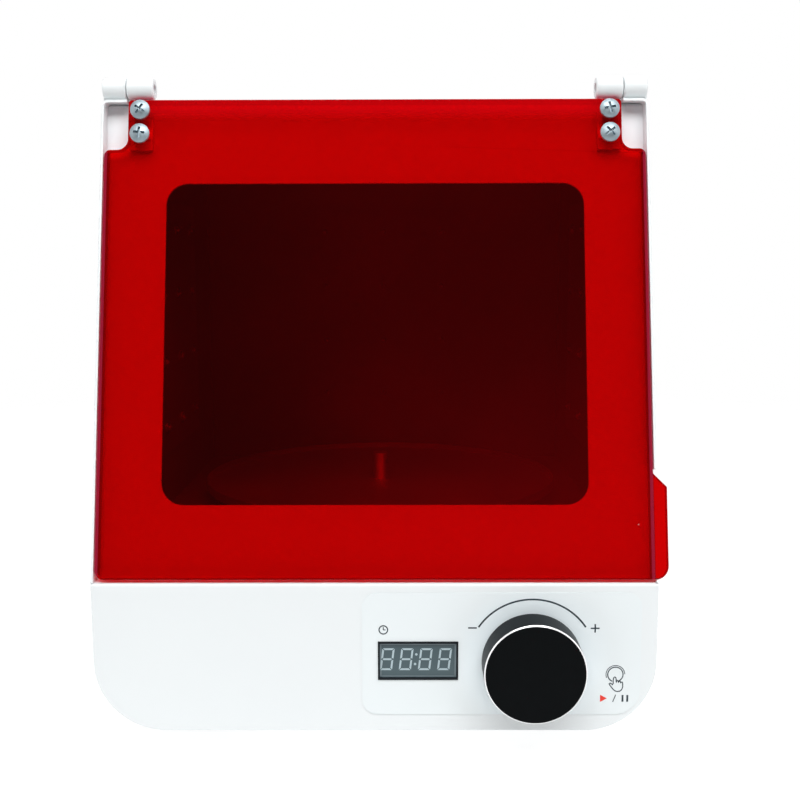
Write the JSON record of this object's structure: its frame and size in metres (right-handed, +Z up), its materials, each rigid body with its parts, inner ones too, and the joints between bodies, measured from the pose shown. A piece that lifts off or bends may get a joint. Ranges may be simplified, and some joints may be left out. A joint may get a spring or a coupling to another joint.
{
  "type": "dental lab light curing unit",
  "caption": "White sheet-steel light curing box with a leaning red see-through flip-up door, turntable chamber, front knob and display.",
  "frame": {"origin": "on the surface it stands on, under the middle of the whole object's box", "axes": "+Z up, front with door and controls towards -Y, handle tab on the +X side"},
  "size_m": [0.229, 0.2512, 0.2706],
  "materials": {
    "powder_coat": "satin powder coat",
    "label_film": "matt printed film",
    "red_acrylic": "clear red, polished",
    "zinc_steel": "blue zinc plate",
    "black_anodised": "turned, black anodised",
    "black_plastic": "fine texture",
    "display_face": "smooth",
    "circuit_board": "solder resist",
    "brass": "plain",
    "galvanised_sheet": "zinc spangle",
    "liner_paint": "satin grey",
    "lamp_board": "white solder resist",
    "led_lens": "clear dome",
    "bare_aluminium": "machined",
    "motor_steel": "plated",
    "coil_tape": "tape",
    "capacitor_sleeve": "printed sleeve",
    "black_rubber": "moulded"
  },
  "bodies": {
    "casing": {"outer_shell": "powder_coat", "top_cover": "powder_coat", "rear_panel": "powder_coat", "front_panel": "powder_coat", "front_frame": "powder_coat", "hinge_fixed_left": "powder_coat", "hinge_fixed_right": "powder_coat", "control_label": "label_film", "hinge_screws": "zinc_steel", "casing_screws": "zinc_steel", "fan_screws": "zinc_steel", "foot_screws": "zinc_steel", "inlet_screws": "zinc_steel", "motor_screws": "zinc_steel", "encoder_nut": "zinc_steel", "hinge_pins": "zinc_steel", "display_bezel": "black_plastic", "power_inlet": "black_plastic", "switch_housing": "black_plastic", "fan_frame": "black_plastic", "encoder_body": "black_plastic", "display_module": "display_face", "control_board": "circuit_board", "driver_board": "circuit_board", "inlet_pins": "brass", "panel_standoffs": "brass", "driver_standoffs": "brass", "touch_sensor": "brass", "support_rail_left": "galvanised_sheet", "support_rail_right": "galvanised_sheet", "chamber_floor": "liner_paint", "chamber_side_left": "liner_paint", "chamber_side_right": "liner_paint", "chamber_back": "liner_paint", "chamber_ceiling": "liner_paint", "lamp_board_left": "lamp_board", "lamp_board_right": "lamp_board", "lamp_board_back": "lamp_board", "lamp_board_top": "lamp_board", "leds_left": "led_lens", "leds_right": "led_lens", "leds_back": "led_lens", "leds_top": "led_lens", "lamp_heat_sink": "bare_aluminium", "turntable_motor": "motor_steel", "fan_guard": "motor_steel", "driver_transformer": "coil_tape", "driver_capacitors": "capacitor_sleeve", "feet": "black_rubber"},
    "door": {"door_panel": "red_acrylic", "hinge_leaf_left": "powder_coat", "hinge_leaf_right": "powder_coat", "door_screws": "zinc_steel"},
    "knob": {"control_knob": "black_anodised", "encoder_shaft": "motor_steel"},
    "turntable": {"turntable_plate": "bare_aluminium", "turntable_hub": "bare_aluminium", "turntable_nut": "bare_aluminium"},
    "fan_wheel": {"fan_rotor": "black_plastic"},
    "rocker": {"power_rocker": "black_plastic"}
  },
  "joints": [
    {"name": "door_hinge", "type": "hinge", "parent": "casing", "child": "door", "pos_m": [-0.002, -0.06192, 0.2661], "axis": [-1, 0, 0], "range_deg": [0, 248]},
    {"name": "knob_turn", "type": "hinge", "parent": "casing", "child": "knob", "pos_m": [0.0606, -0.1186, 0.0373], "axis": [0, -1, 0], "continuous": true},
    {"name": "turntable_spin", "type": "hinge", "parent": "casing", "child": "turntable", "pos_m": [-0.002, 0.0034, 0.086], "axis": [0, 0, 1], "continuous": true},
    {"name": "fan_spin", "type": "hinge", "parent": "casing", "child": "fan_wheel", "pos_m": [-0.002, 0.1134, 0.173], "axis": [0, 1, 0], "continuous": true},
    {"name": "power_rocker", "type": "hinge", "parent": "casing", "child": "rocker", "pos_m": [-0.024, 0.1184, 0.044], "axis": [-1, 0, 0], "range_deg": [0, 20]}
  ]
}
